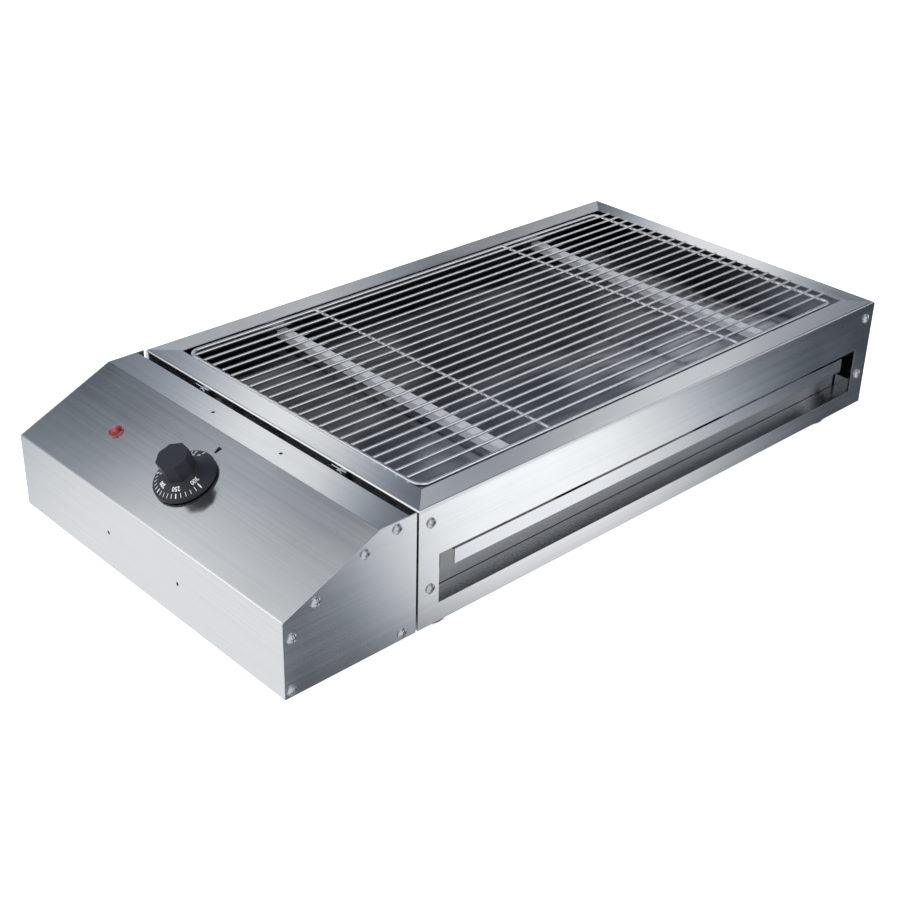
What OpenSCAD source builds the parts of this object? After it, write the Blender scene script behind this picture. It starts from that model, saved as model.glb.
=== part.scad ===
// Electric barbecue grill with a side control box, a lift-out wire grate and a pull-out drip tray.
// Units are millimetres. The origin is on the ground, under the middle of the whole grill.
// +X runs from the control box to the far end, the tray opens towards -Y, and +Z is up.

/* [Body] */
// Length of the grill body, without the control box
body_l = 553; // [480:1:640]
// Width of the body and of the control box
body_w = 340; // [300:1:400]
// Height of the body, from its underside to the rim
body_h = 101; // [96:1:130]
// Thickness of the bent sheets
sheet = 1; // [0.8:0.1:1.2]
// Outer radius of the bend along the rim
bend_r = 2; // [1.5:0.1:3]
// Width of the flat rim round the grate
rim_w = 21.7; // [20:0.1:30]
// Height of the upturned edges of the base sheets
base_edge_h = 12; // [8:0.5:13]
// Width of the tabs that join the end panels to the long panels
tab_w = 18; // [16:0.5:18]

/* [Tray opening] */
// Distance from each end of the body to the tray opening
opening_inset = 20; // [20:0.5:40]
// Height of the opening's lower edge above the underside
opening_z = 16.2; // [15:0.1:20]
// Height of the tray opening
opening_h = 42; // [38:0.5:46]
// Depth of the return flange along the opening's lower edge
sill_d = 17; // [12:0.5:22]
// Distance of the small spare hole from the body's far end
spare_hole_inset = 46; // [40:1:60]
// Depth of the small spare hole below the rim
spare_hole_drop = 12; // [10:0.5:14]
// Diameter of the small spare holes
spare_hole_d = 3; // [2:0.1:4]

/* [Control box] */
// Length of the control box along X
box_l = 118; // [110:1:140]
// Height of the box's upright front face
box_front_h = 63.1; // [55:0.1:70]
// Length of the flat part of the box's top
box_top_l = 33.3; // [30:0.1:40]
// Gap between the control box and the body
body_gap = 2; // [1.5:0.1:4]
// Distance that the cover stops short of the back of the side plates
cover_setback = 6.4; // [5:0.1:8]
// Width of the cover's side flanges, which take the screws
cover_flange_w = 14; // [12:0.5:16]
// Depth of the box's back plate below the rim
back_plate_drop = 11; // [9:0.5:15]
// Distance between the two spare holes in the front face
front_holes_pitch = 91; // [70:1:110]
// Height of the two spare holes in the front face
front_holes_z = 31; // [20:0.5:40]
// Distance between the two spare holes in the top
top_holes_pitch = 85.2; // [70:0.1:110]
// Distance of the top's spare holes from the back plate's outer face
top_holes_inset = 20; // [15:0.5:24]

/* [Feet] */
// Height of the feet
foot_h = 17; // [15:0.5:25]
// Outer diameter of the feet
foot_d = 38; // [30:0.5:44]
// Distance of a foot's centre from the end of the body
foot_inset_x = 36; // [30:1:60]
// Distance of a foot's centre from the long side of the body
foot_inset_y = 34; // [30:1:60]
// Thickness of the pressed steel cup of a foot
foot_cup_t = 2; // [1.5:0.1:3]
// Height of the rubber edge below the steel cup
pad_edge_h = 1.5; // [1:0.1:3]

/* [Pan and supports] */
// Depth of the pan's floor below the rim
pan_depth = 22.5; // [20:0.1:26]
// Width of the pan's flange under the rim
pan_flange_w = 15; // [10:0.5:16]
// Number of drain slots along the front of the pan's floor
drain_count = 3; // [2:1:5]
// Length of a drain slot
drain_l = 130; // [60:1:140]
// Width of a drain slot
drain_w = 8; // [6:0.5:12]
// Distance of the drain slots from the pan's front wall
drain_inset = 3; // [2:0.5:6]
// Width of the top of a cross support
support_w = 10; // [8:0.5:14]
// Height of the upright leg of a cross support
support_leg = 7; // [5:0.5:9]
// Depth of the cross supports below the rim
support_drop = 11; // [9:0.5:12]
// Width of a grate rest along the wall
rest_w = 14; // [10:0.5:20]
// Reach of a grate rest from the wall
rest_reach = 8.3; // [7:0.1:9]
// Height of a grate rest's leg on the wall
rest_leg = 6; // [4:0.5:7]

/* [Grate] */
// Diameter of the frame wire
frame_wire_d = 3.5; // [3:0.1:4.5]
// Distance of the frame wire's centre from the rim along the long sides
frame_side_gap = 4.55; // [3:0.05:6]
// Distance of the frame wire's centre from the rim at the control end
frame_left_gap = 2.7; // [2.5:0.1:6]
// Distance of the frame wire's centre from the rim at the far end
frame_right_gap = 10.2; // [8:0.1:14]
// Depth of the frame wire's centre below the rim
frame_drop = 1.5; // [1:0.1:2.5]
// Corner radius of the frame at the control end
frame_corner_left = 10; // [6:0.5:14]
// Corner radius of the frame at the far end
frame_corner_right = 5; // [4:0.5:14]
// Number of long bars
bar_count = 22; // [16:1:22]
// Distance between neighbouring long bars
bar_pitch = 12.5; // [11:0.1:12.6]
// Diameter of the long bars
bar_d = 2.5; // [2:0.1:3.5]
// Distance that the long bars run past the far frame wire
bar_overhang = 7.7; // [4:0.1:8]
// Diameter of the two cross rods
rod_d = 3; // [2.5:0.1:3.5]

/* [Drip tray] */
// Height of the tray's walls
tray_wall_h = 13.8; // [10:0.1:18]
// Free play between the tray and each rail
tray_side_gap = 2; // [1:0.1:4]
// Distance between the back of the tray and the body's back face
tray_back_gap = 10; // [6:0.5:20]
// Distance of the handle lip from the opening's ends
lip_inset = 16.9; // [10:0.1:30]
// Distance of the handle lip behind the body's front face
lip_setback = 2; // [1.6:0.1:5]
// Gap between the handle lip and the opening's upper edge
lip_top_gap = 4.1; // [3:0.1:6]
// Height of the handle lip
lip_h = 12.7; // [10:0.1:16]
// Width of the rail's shelf under the tray
rail_shelf_w = 18; // [12:0.5:24]
// Height of the rail above its shelf
rail_h = 12; // [8:0.5:13]

/* [Heating elements] */
// Diameter of the sheathed heating tube
element_d = 8; // [6.5:0.1:9]
// Number of U-shaped heating elements
element_count = 3; // [2:1:3]
// Distance between the two legs of one element
element_leg_pitch = 44; // [36:1:50]
// Distance between neighbouring elements
element_pitch = 92; // [84:1:98]
// Distance of the element's bend from the body's far end
element_end_gap = 50; // [40:1:90]
// Diameter of the threaded collar at each end
collar_d = 12; // [11:0.1:13]
// Length of the heating tube inside the control box
cold_end_l = 12; // [8:0.5:16]
// Width of a clamp bar
clamp_w = 12; // [10:0.5:16]
// Thickness of a clamp bar
clamp_t = 1.5; // [1:0.1:2.5]
// Diameter of the thermostat's sensing bulb
bulb_d = 6; // [4:0.1:6.5]
// Length of the sensing bulb
bulb_l = 92; // [60:1:120]

/* [Knob] */
// Diameter of the knob's skirt
knob_d = 50; // [44:0.5:56]
// Height of the knob above the panel
knob_h = 25.6; // [22:0.1:30]
// Gap between the knob's skirt and the panel
knob_gap = 0.8; // [0.6:0.1:1.5]
// Height of the skirt's upright edge
skirt_edge_h = 3; // [2:0.1:4]
// Height at which the sloping skirt meets the grip
skirt_top_h = 9.5; // [8:0.1:11]
// Width of the eight-sided grip across its corners
grip_d = 26.4; // [24:0.1:30]
// Angle of the grip's first corner from the off mark
grip_turn = 15; // [0:1:45]
// Distance of the pointer mark from the knob's centre
pointer_reach = 32; // [30:0.5:36]
// Length of the pointer mark
pointer_l = 5.7; // [4:0.1:7]
// Width of the pointer mark
pointer_w = 3.7; // [2:0.1:5]

/* [Thermostat and lamp] */
// Width of the thermostat's square body
thermostat_w = 44; // [36:1:46]
// Depth of the thermostat's body
thermostat_depth = 26; // [20:0.5:28]
// Diameter of the thermostat's threaded neck
neck_d = 10; // [9:0.1:10.5]
// Diameter of the thermostat's shaft
shaft_d = 6; // [5:0.1:6.4]
// Distance of the lamp from the knob, along Y
lamp_y = 94.3; // [70:0.1:120]
// Diameter of the lamp's lens
lamp_d = 12; // [10:0.1:14]
// Height of the lamp's domed lens
lamp_h = 3.4; // [2.5:0.1:5]
// Diameter of the lamp's stem
lamp_stem_d = 8.8; // [7:0.1:9]
// Length of the lamp behind the panel
lamp_l = 26; // [20:0.5:30]

/* [Supply] */
// Length of the terminal block along Y
block_l = 96; // [90:1:110]
// Width of the terminal block along X
block_w = 24; // [22:0.5:26]
// Height of the terminal block
block_h = 22; // [18:0.5:26]
// Diameter of the hole through the cord inlet's rubber bush
inlet_d = 9; // [7:0.1:11]
// Outer diameter of the cord inlet's rubber bush
inlet_flange_d = 24; // [20:0.5:26]
// Thickness of each flange of the rubber bush
inlet_flange_t = 2; // [1.5:0.1:2.2]
// Diameter of the insulated power leads
wire_d = 2.6; // [2:0.1:3]
// Diameter of the lamp's two thin leads
lamp_wire_d = 1.6; // [1.2:0.1:1.8]

/* [Fasteners] */
// Diameter of the screws' threads
screw_d = 4; // [3.5:0.1:4.4]
// Diameter of the round screw heads
screw_head_d = 8; // [7:0.1:8.6]
// Height of the round screw heads
screw_head_h = 2.2; // [2:0.1:2.8]
// Length of the panel screws
screw_l = 6; // [5:0.5:8]
// Width across flats of the nuts
nut_af = 7; // [6.5:0.1:7.4]
// Thickness of the nuts
nut_t = 3.2; // [2.5:0.1:4]
// Distance of the body's side screws from its ends
side_screw_inset = 11.5; // [9:0.5:13]
// Depth of the body's upper side screws below the rim
side_screw_drop = 13.5; // [12:0.5:18]
// Distance between the two screws that join the box to the body
link_pitch = 171; // [140:1:200]
// Depth of the joining screws below the rim
link_drop = 5.9; // [5.8:0.1:8]

/* [Hidden] */
$fn = 48;

// Clearances shared by all pieces
rest_gap = 0.3;
slide_gap = 0.3;
weld_gap = 0.1;
seat_gap = 0.01;
screw_play = 0.1;
thread_play = 0.05;
turn_play = 0.05;
overrun = 2;
outer_gap = 0.4;

// Overall places
total_l = box_l + body_gap + body_l;
box_x0 = -total_l / 2;
body_x0 = box_x0 + box_l + body_gap;
half_w = body_w / 2;

// Pan and elements, measured from the underside of the body
pan_hl = body_l / 2 - rim_w;
pan_hw = half_w - rim_w;
pan_floor_z = body_h - pan_depth;
pan_under_z = pan_floor_z - sheet;
element_z = pan_under_z - rest_gap - element_d / 2;
clamp_z = element_z - element_d / 2 - rest_gap - clamp_t;
support_place_shares = [0.2012, 0.8197];
rest_place_shares = [0.12, 0.5, 0.88];
clamp_place_shares = [0.2, 0.5, 0.8];
clamp_margin = 12;
clamp_l = (element_count - 1) * element_pitch + element_leg_pitch + 2 * clamp_margin;
stud_end = 2;
collar_flange_d = 18;
collar_flange_t = 1.5;
collar_out = 2;
element_hole_play = 0.2;
pin_d = 4;
pin_l = 10;
element_nut_af = 17;
bulb_x = 66;
bulb_z = pan_under_z - rest_gap - bulb_d / 2;
capillary_d = 2;
capillary_hole_d = 5;

// Grate, measured from the body's control end and from its underside
frame_x0 = rim_w + frame_left_gap;
frame_x1 = body_l - rim_w - frame_right_gap;
frame_hw = pan_hw - frame_side_gap;
frame_z = body_h - frame_drop;
bar_z = frame_z + frame_wire_d / 2 + weld_gap + bar_d / 2;
bar_start_lap = 0.7;
rod_z = bar_z - bar_d / 2 - weld_gap - rod_d / 2;
rod_place_shares = [0.2688, 0.7339];
rest_z = frame_z - frame_wire_d / 2 - rest_gap;

// Tray and rails
opening_l = body_l - 2 * opening_inset;
tray_x0 = opening_inset + tray_side_gap;
tray_l = opening_l - 2 * tray_side_gap;
tray_y0 = -half_w + sill_d + outer_gap;
tray_y1 = half_w - tray_back_gap;
tray_z = opening_z + slide_gap;
lip_x0 = opening_inset + lip_inset;
lip_l = opening_l - 2 * lip_inset;
lip_y = -half_w + lip_setback;
lip_top = opening_z + opening_h - lip_top_gap;
rail_web_z = opening_z + rail_h;
rail_foot_h = 9;

// Screw places
side_screw_clear = 3.8;
side_screw_low = rail_web_z + side_screw_clear;
side_screw_high = body_h - side_screw_drop;
box_screw_edge = 5.6;
cover_screw_edge = 7;
front_screw_share = 0.765;
slope_screw_shares = [0.295, 0.805];
top_screw_inset = 18.1;
screw_crown_share = 0.62;
screw_recess_l_share = 0.52;
screw_recess_w_share = 0.12;
screw_recess_h_share = 0.5;
base_screw_inset = 13.5;
link_z = body_h - link_drop;
link_tab_w = 16;
link_tab_rise = 4.6;
tab_margin = 5;

// Sloping panel of the control box
slope_run = box_l - box_top_l;
slope_rise = body_h - box_front_h;
slope_a = atan2(slope_rise, slope_run);
slope_l = sqrt(slope_run * slope_run + slope_rise * slope_rise);
cover_l = box_l - cover_setback;
back_plate_h = body_h - back_plate_drop;

// Knob and thermostat, measured from the panel's outer face
skirt_chamfer = 0.4;
skirt_inner_share = 0.8;
knob_cavity_d = 19;
knob_cavity_h = 8;
knob_bore_h = 19;
shaft_top = 18;
shaft_depth = 12;
shaft_flat = 1.2;
neck_h = 5;
neck_nut_af = 14;
neck_nut_t = 2.5;
pointer_t = 0.4;
pointer_tip_w = 1.2;
spade_w = 6.3;
spade_t = 0.8;
spade_l = 8;
thermostat_spade_x = -8;
thermostat_spade_y = 12;
lamp_spade_w = 2.8;
lamp_spade_y = 2.5;
lamp_rim_h = 1.2;
lamp_stem_l = 4;
lamp_clip_t = 2;
lamp_clip_w = 2.6;

// Terminal block and wires, measured from the control box's front face
block_back_gap = 33.5;
block_x = box_l - block_back_gap;
block_base_h = 12;
barrier_t = 2;
pole_pitch = 15;
pole_count = 6;
element_row = 4.5;
control_row = -6;
pole_screw_d = 5;
pole_screw_h = 8;
pole_screw_play = 0.1;
thermostat_pole = 2;
lamp_pole = 4;
element_lead_shares = [
    [0, 0, 0], [0.4, 0, 0], [0.85, 0.05, 0.1], [1, 0.3, 0.3], [1, 0.75, 0.6], [1, 1, 0.85], [1, 1, 1]
];
control_lead_shares = [
    [0, 0, 0], [0.07, 0, 0.17], [0.35, 0.2, 0.45], [0.75, 0.7, 0.5], [1, 1, 0.75], [1, 1, 1]
];
capillary_exit_share = 0.32;
capillary_points = [
    [3.2, 0, -7.4], [8, 0, -9.5], [16, 0, -6], [27, 0, 4], [36, 0, 10]
];
capillary_run = 40;
tube_sides = 8;

// Cord inlet and earth point, measured from the control box's front face
inlet_x = 51.5;
inlet_z = 28;
inlet_neck_d = 18;
earth_back_gap = 28;
earth_side_gap = 40;
earth_x = box_l - earth_back_gap;
earth_y = -half_w + earth_side_gap;
earth_l = 14;

// Feet
foot_screw_d = 5;
foot_screw_head_d = 9;
foot_screw_head_h = 3;
foot_nut_af = 8;
foot_nut_t = 4;
foot_screw_end = 2;
pad_edge_inset = 1;
pad_play = 0.1;
pad_hole_d = 12;
pad_top_gap = 0.3;

// Colours
steel = [0.74, 0.76, 0.78];
bright_steel = [0.85, 0.86, 0.88];
dark_steel = [0.35, 0.36, 0.38];
black = [0.08, 0.08, 0.09];
white = [0.92, 0.92, 0.9];
red = [0.8, 0.08, 0.08];
brass = [0.8, 0.65, 0.3];
copper = [0.72, 0.42, 0.25];

// Frames that the pieces are drawn in
module in_body() {
    translate([body_x0, 0, foot_h]) children();
}

module in_box() {
    translate([box_x0, 0, foot_h]) children();
}

module on_slope(y, lift = 0) {
    in_box()
        translate([slope_run / 2, y, box_front_h + slope_rise / 2])
            rotate([0, -slope_a, 0]) translate([0, 0, lift]) children();
}

// Plain helpers
module along_x(section_l) {
    rotate([90, 0, 90]) linear_extrude(section_l) children();
}

module along_y(section_l) {
    rotate([90, 0, 0]) linear_extrude(section_l, center = true) children();
}

module rod_x(x0, x1, r) {
    translate([x0, 0, 0]) rotate([0, 90, 0]) cylinder(r = r, h = x1 - x0);
}

module hex_nut(af, t, bore_d) {
    difference() {
        rotate([0, 0, 30]) cylinder(d = af / cos(30), h = t, $fn = 6);
        translate([0, 0, -overrun]) cylinder(d = bore_d, h = t + 2 * overrun);
    }
}

// A round-headed screw with its head above z = 0 and its thread below
module round_screw(thread_l) {
    crown_h = screw_crown_share * screw_head_h;
    crown_r = (pow(screw_head_d / 2, 2) + crown_h * crown_h) / (2 * crown_h);
    recess_l = screw_recess_l_share * screw_head_d;
    recess_w = screw_recess_w_share * screw_head_d;
    recess_h = screw_recess_h_share * screw_head_h;
    difference() {
        intersection() {
            cylinder(d = screw_head_d, h = screw_head_h);
            translate([0, 0, screw_head_h - crown_r]) sphere(crown_r);
        }
        for (turn = [0, 90])
            rotate([0, 0, turn])
                translate([-recess_l / 2, -recess_w / 2, screw_head_h - recess_h])
                    cube([recess_l, recess_w, recess_h + overrun]);
    }
    translate([0, 0, -thread_l]) cylinder(d = screw_d, h = thread_l);
}

// Wall with a bent flange at its top: the wall rises from 0, the flange runs towards +x
module bend_section(wall_h, flange_w) {
    square([sheet, wall_h - bend_r]);
    translate([bend_r, wall_h - sheet]) square([flange_w - bend_r, sheet]);
    intersection() {
        translate([0, wall_h - bend_r]) square([bend_r, bend_r]);
        translate([bend_r, wall_h - bend_r])
            difference() {
                circle(r = bend_r);
                circle(r = bend_r - sheet);
            }
    }
}

// Prism beyond the 45 degree mitre at the right-hand end of a panel of the given length
module mitre_prism(panel_l) {
    reach = rim_w + overrun;
    end = panel_l / 2;
    translate([0, 0, body_h - bend_r])
        linear_extrude(bend_r + overrun)
            polygon([[end + overrun, -overrun], [end - reach, reach], [end + overrun, reach]]);
}

// Long panel, seen from its outer face, with its middle at x = 0 and its outer face at y = 0
module long_panel() {
    difference() {
        translate([-body_l / 2, 0, 0]) along_x(body_l) bend_section(body_h, rim_w);
        for (end = [0, 1]) mirror([end, 0, 0]) {
            mitre_prism(body_l);
            for (z = [side_screw_low, side_screw_high])
                translate([body_l / 2 - side_screw_inset, sheet / 2, z])
                    rotate([90, 0, 0])
                        cylinder(d = screw_d + 2 * screw_play, h = 2 * sheet, center = true);
        }
    }
}

module front_panel() {
    color(steel) in_body() translate([body_l / 2, -half_w, 0]) {
        difference() {
            long_panel();
            translate([-opening_l / 2, -overrun, opening_z])
                cube([opening_l, overrun + 2 * sheet, opening_h]);
            translate([body_l / 2 - spare_hole_inset, sheet / 2, body_h - spare_hole_drop])
                rotate([90, 0, 0]) cylinder(d = spare_hole_d, h = 2 * sheet, center = true);
        }
        translate([-opening_l / 2, 0, opening_z - sheet]) cube([opening_l, sill_d, sheet]);
    }
}

module back_panel() {
    color(steel) in_body() translate([body_l / 2, half_w, 0]) rotate([0, 0, 180]) long_panel();
}

// End panel with its outer face at x = 0, its middle at y = 0 and its rim towards +x
module end_panel() {
    wall_l = body_w - 2 * sheet;
    tab_z0 = base_edge_h / 2;
    tab_z1 = body_h - tab_margin;
    difference() {
        along_y(body_w) bend_section(body_h, rim_w);
        for (side = [0, 1]) mirror([0, side, 0]) {
            translate([-overrun, wall_l / 2, -overrun])
                cube([rim_w, sheet + overrun, body_h - bend_r + overrun]);
            rotate([0, 0, 90]) mirror([0, 1, 0]) mitre_prism(body_w);
        }
    }
    for (side = [0, 1]) mirror([0, side, 0])
        difference() {
            translate([0, wall_l / 2 - sheet, tab_z0]) cube([tab_w, sheet, tab_z1 - tab_z0]);
            for (z = [side_screw_low, side_screw_high])
                translate([side_screw_inset, wall_l / 2 - sheet / 2, z])
                    rotate([90, 0, 0])
                        cylinder(d = screw_d + 2 * screw_play, h = 2 * sheet, center = true);
        }
}

// Places of the six legs of the heating elements
function leg_y(i, side) =
    (i - (element_count - 1) / 2) * element_pitch + side * element_leg_pitch / 2;

module element_holes(hole_d) {
    for (i = [0 : element_count - 1], side = [-1, 1])
        translate([-overrun, leg_y(i, side), element_z]) rod_x(0, 2 * overrun + sheet, hole_d / 2);
}

module link_holes() {
    for (side = [-1, 1])
        translate([-overrun, side * link_pitch / 2, link_z])
            rod_x(0, 2 * overrun + sheet, screw_d / 2 + screw_play);
}

module left_end_panel() {
    color(steel) in_body()
        difference() {
            end_panel();
            element_holes(collar_d + element_hole_play);
            link_holes();
            translate([-overrun, 0, bulb_z]) rod_x(0, 2 * overrun + sheet, capillary_hole_d / 2);
        }
}

module right_end_panel() {
    color(steel) in_body() translate([body_l, 0, 0]) rotate([0, 0, 180]) end_panel();
}

module foot_places() {
    for (x = [foot_inset_x, body_l - foot_inset_x], y = [-1, 1])
        translate([x, y * (half_w - foot_inset_y), 0]) children();
}

module base_plate() {
    long_edge_x = tab_w + sheet;
    end_edge_w = body_w - 6 * sheet;
    color(steel) in_body()
        difference() {
            union() {
                translate([sheet, -half_w + sheet, 0])
                    cube([body_l - 2 * sheet, body_w - 2 * sheet, sheet]);
                for (side = [0, 1]) mirror([0, side, 0])
                    translate([long_edge_x, half_w - 2 * sheet, 0])
                        cube([body_l - 2 * long_edge_x, sheet, base_edge_h]);
                for (x = [sheet, body_l - 2 * sheet])
                    translate([x, -end_edge_w / 2, 0]) cube([sheet, end_edge_w, base_edge_h]);
            }
            foot_places() translate([0, 0, -overrun])
                cylinder(d = foot_screw_d + 2 * screw_play, h = sheet + 2 * overrun);
        }
}

// Pan under the grate, with a flange under the rim and drain slots along its front
module inner_pan() {
    wall_x = pan_hl + sheet;
    wall_y = pan_hw + sheet;
    flange_z = body_h - 2 * sheet;
    slot_pitch = 2 * pan_hl / drain_count;
    color(bright_steel) in_body() translate([body_l / 2, 0, 0])
        difference() {
            union() {
                translate([-wall_x, -wall_y, pan_under_z])
                    cube([2 * wall_x, 2 * wall_y, flange_z + sheet - pan_under_z]);
                translate([-pan_hl - pan_flange_w, -pan_hw - pan_flange_w, flange_z])
                    cube([2 * (pan_hl + pan_flange_w), 2 * (pan_hw + pan_flange_w), sheet]);
            }
            translate([-pan_hl, -pan_hw, pan_floor_z])
                cube([2 * pan_hl, 2 * pan_hw, pan_depth + overrun]);
            for (i = [0 : drain_count - 1])
                translate([(i - (drain_count - 1) / 2) * slot_pitch - drain_l / 2,
                           -pan_hw + drain_inset, pan_under_z - overrun])
                    cube([drain_l, drain_w, sheet + 2 * overrun]);
        }
}

// Two angle strips across the pan
module cross_supports() {
    color(bright_steel) in_body()
        for (share = support_place_shares)
            translate([rim_w + share * 2 * pan_hl - support_w / 2, 0, body_h - support_drop])
                along_y(2 * pan_hw) {
                    translate([0, -sheet]) square([support_w, sheet]);
                    translate([0, -support_leg]) square([sheet, support_leg]);
                }
}

// Six small angles on the pan's long walls, under the frame of the grate
module grate_rests() {
    color(bright_steel) in_body()
        for (side = [0, 1], share = rest_place_shares) mirror([0, side, 0])
            translate([rim_w + share * 2 * pan_hl - rest_w / 2, pan_hw, rest_z])
                rotate([90, 0, 90]) linear_extrude(rest_w) {
                    translate([-rest_reach, -sheet]) square([rest_reach, sheet]);
                    translate([-sheet, -rest_leg]) square([sheet, rest_leg]);
                }
}

// Rails on the end panels that carry the drip tray
module tray_rails() {
    rail_l = body_w - 4 * sheet - 2 * outer_gap;
    shelf_y0 = -half_w + sill_d + outer_gap;
    wall_x = opening_inset - sheet;
    color(steel) in_body()
        for (end = [0, 1])
            translate([end * body_l, 0, 0]) mirror([end, 0, 0]) {
                along_y(rail_l) {
                    translate([sheet, rail_web_z - rail_foot_h]) square([sheet, rail_foot_h]);
                    translate([sheet, rail_web_z - sheet]) square([wall_x, sheet]);
                    translate([wall_x, opening_z - sheet]) square([sheet, rail_h + sheet]);
                }
                translate([wall_x, shelf_y0, opening_z - sheet])
                    cube([rail_shelf_w + sheet, rail_l / 2 - shelf_y0, sheet]);
            }
}

module body_screws() {
    color(bright_steel) in_body()
        for (side = [0, 1], x = [side_screw_inset, body_l - side_screw_inset],
             z = [side_screw_low, side_screw_high])
            mirror([0, side, 0]) translate([x, -half_w, z]) rotate([90, 0, 0]) round_screw(screw_l);
}

// One U-shaped heating tube with threaded collars and terminal pins
module heating_element() {
    half_pitch = element_leg_pitch / 2;
    bend_x = body_l - element_end_gap - half_pitch;
    end_x = -body_gap - sheet - cold_end_l;
    for (side = [-1, 1]) translate([0, side * half_pitch, 0]) {
        rod_x(end_x, bend_x, element_d / 2);
        rod_x(-body_gap - sheet - collar_out, sheet + collar_flange_t, collar_d / 2);
        rod_x(sheet, sheet + collar_flange_t, collar_flange_d / 2);
        rod_x(end_x - pin_l, end_x, pin_d / 2);
    }
    translate([bend_x, 0, 0]) rotate([0, 0, -90])
        rotate_extrude(angle = 180) translate([half_pitch, 0]) circle(d = element_d);
}

module heating_elements() {
    color(dark_steel) in_body()
        for (i = [0 : element_count - 1])
            translate([0, (i - (element_count - 1) / 2) * element_pitch, element_z])
                heating_element();
}

module element_nuts() {
    nut_w = body_gap - 2 * weld_gap;
    color(bright_steel) in_body()
        for (i = [0 : element_count - 1], side = [-1, 1])
            translate([-nut_w, leg_y(i, side), element_z]) rotate([0, 90, 0])
                hex_nut(element_nut_af, nut_w, collar_d + 2 * thread_play);
}

module clamp_bars() {
    color(steel) in_body()
        for (share = clamp_place_shares)
            translate([share * body_l, 0, clamp_z])
                difference() {
                    translate([-clamp_w / 2, -clamp_l / 2, 0]) cube([clamp_w, clamp_l, clamp_t]);
                    for (side = [-1, 1])
                        translate([0, side * element_pitch / 2, -overrun])
                            cylinder(d = screw_d + 2 * screw_play, h = clamp_t + 2 * overrun);
                }
}

module clamp_places() {
    for (share = clamp_place_shares, side = [-1, 1])
        translate([share * body_l, side * element_pitch / 2, 0]) children();
}

module clamp_studs() {
    stud_z0 = clamp_z - nut_t - stud_end;
    color(steel) in_body() clamp_places()
        translate([0, 0, stud_z0]) cylinder(d = screw_d, h = pan_under_z - stud_z0);
}

module clamp_nuts() {
    color(steel) in_body() clamp_places()
        translate([0, 0, clamp_z - nut_t]) hex_nut(nut_af, nut_t, screw_d + 2 * thread_play);
}

module sensing_bulb() {
    color(copper) in_body() translate([bulb_x, 0, bulb_z]) rod_x(0, bulb_l, bulb_d / 2);
}

// A round tube along a list of points, with its sides square to the reference direction
function unit(v) = v / norm(v);
function tangent(points, i) =
    i == 0 ? unit(points[1] - points[0])
    : i == len(points) - 1 ? unit(points[i] - points[i - 1])
    : unit(unit(points[i + 1] - points[i]) + unit(points[i] - points[i - 1]));
function ring_point(points, i, k, r, across) =
    let (t = tangent(points, i), n = unit(cross(t, across)), b = cross(t, n),
         turn = 360 * k / tube_sides)
    points[i] + r * (cos(turn) * n + sin(turn) * b);

module tube_along(points, r, across) {
    last = len(points) - 1;
    rings = [for (i = [0 : last], k = [0 : tube_sides - 1]) ring_point(points, i, k, r, across)];
    sides = [for (i = [0 : last - 1], k = [0 : tube_sides - 1], half = [0, 1])
        let (a = i * tube_sides + k, b = i * tube_sides + (k + 1) % tube_sides,
             c = a + tube_sides, d = b + tube_sides)
        half == 0 ? [a, b, d] : [a, d, c]];
    first_cap = [for (k = [1 : tube_sides - 2]) [0, k + 1, k]];
    last_cap = [for (k = [1 : tube_sides - 2])
        [last * tube_sides, last * tube_sides + k, last * tube_sides + k + 1]];
    polyhedron(points = rings, faces = concat(sides, first_cap, last_cap));
}

// Points from one place to another, each given as shares of the way along x, y and z
function route(from, to, shares) =
    [for (s = shares) [for (axis = [0 : 2]) from[axis] + s[axis] * (to[axis] - from[axis])]];

// A point given on the sloping panel, in the frame of the control box
function slope_point(x, y, z) = [
    slope_run / 2 + x * cos(slope_a) - z * sin(slope_a),
    y,
    box_front_h + slope_rise / 2 + x * sin(slope_a) + z * cos(slope_a)
];

thermostat_back = -sheet - thermostat_depth;
capillary_exit_x = capillary_exit_share * thermostat_w;

module capillary_tube() {
    start = slope_point(capillary_exit_x, 0, thermostat_back);
    bulb_end = [box_l + body_gap + bulb_x, 0, bulb_z];
    middle = [for (p = capillary_points) start + p];
    straight = [bulb_end[0] - bulb_x - capillary_run, 0, bulb_z];
    color(copper) in_box()
        tube_along(concat([start], middle, [straight + [capillary_run / 2, 0, 0], bulb_end]),
                   capillary_d / 2, [0, 1, 0]);
}

// One foot: a steel cup, a rubber pad inside it, a screw and a nut
module foot_cup() {
    cup_z0 = pad_edge_h;
    difference() {
        translate([0, 0, cup_z0]) cylinder(d = foot_d, h = foot_h - cup_z0);
        translate([0, 0, -overrun])
            cylinder(d = foot_d - 2 * foot_cup_t, h = foot_h - foot_cup_t + overrun);
        translate([0, 0, -overrun])
            cylinder(d = foot_screw_d + 2 * screw_play, h = foot_h + 2 * overrun);
    }
}

module foot_pad() {
    plug_h = foot_h - foot_cup_t - pad_top_gap;
    difference() {
        union() {
            cylinder(d = foot_d - 2 * pad_edge_inset, h = pad_edge_h);
            cylinder(d = foot_d - 2 * foot_cup_t - 2 * pad_play, h = plug_h);
        }
        translate([0, 0, -overrun]) cylinder(d = pad_hole_d, h = plug_h + 2 * overrun);
    }
}

module foot_screw() {
    seat_z = foot_h - foot_cup_t;
    translate([0, 0, seat_z - foot_screw_head_h])
        cylinder(d = foot_screw_head_d, h = foot_screw_head_h);
    translate([0, 0, seat_z])
        cylinder(d = foot_screw_d, h = foot_cup_t + sheet + foot_nut_t + foot_screw_end);
}

module foot_cups() {
    color(steel) in_body() foot_places() translate([0, 0, -foot_h]) foot_cup();
}

module foot_pads() {
    color(black) in_body() foot_places() translate([0, 0, -foot_h]) foot_pad();
}

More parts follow.
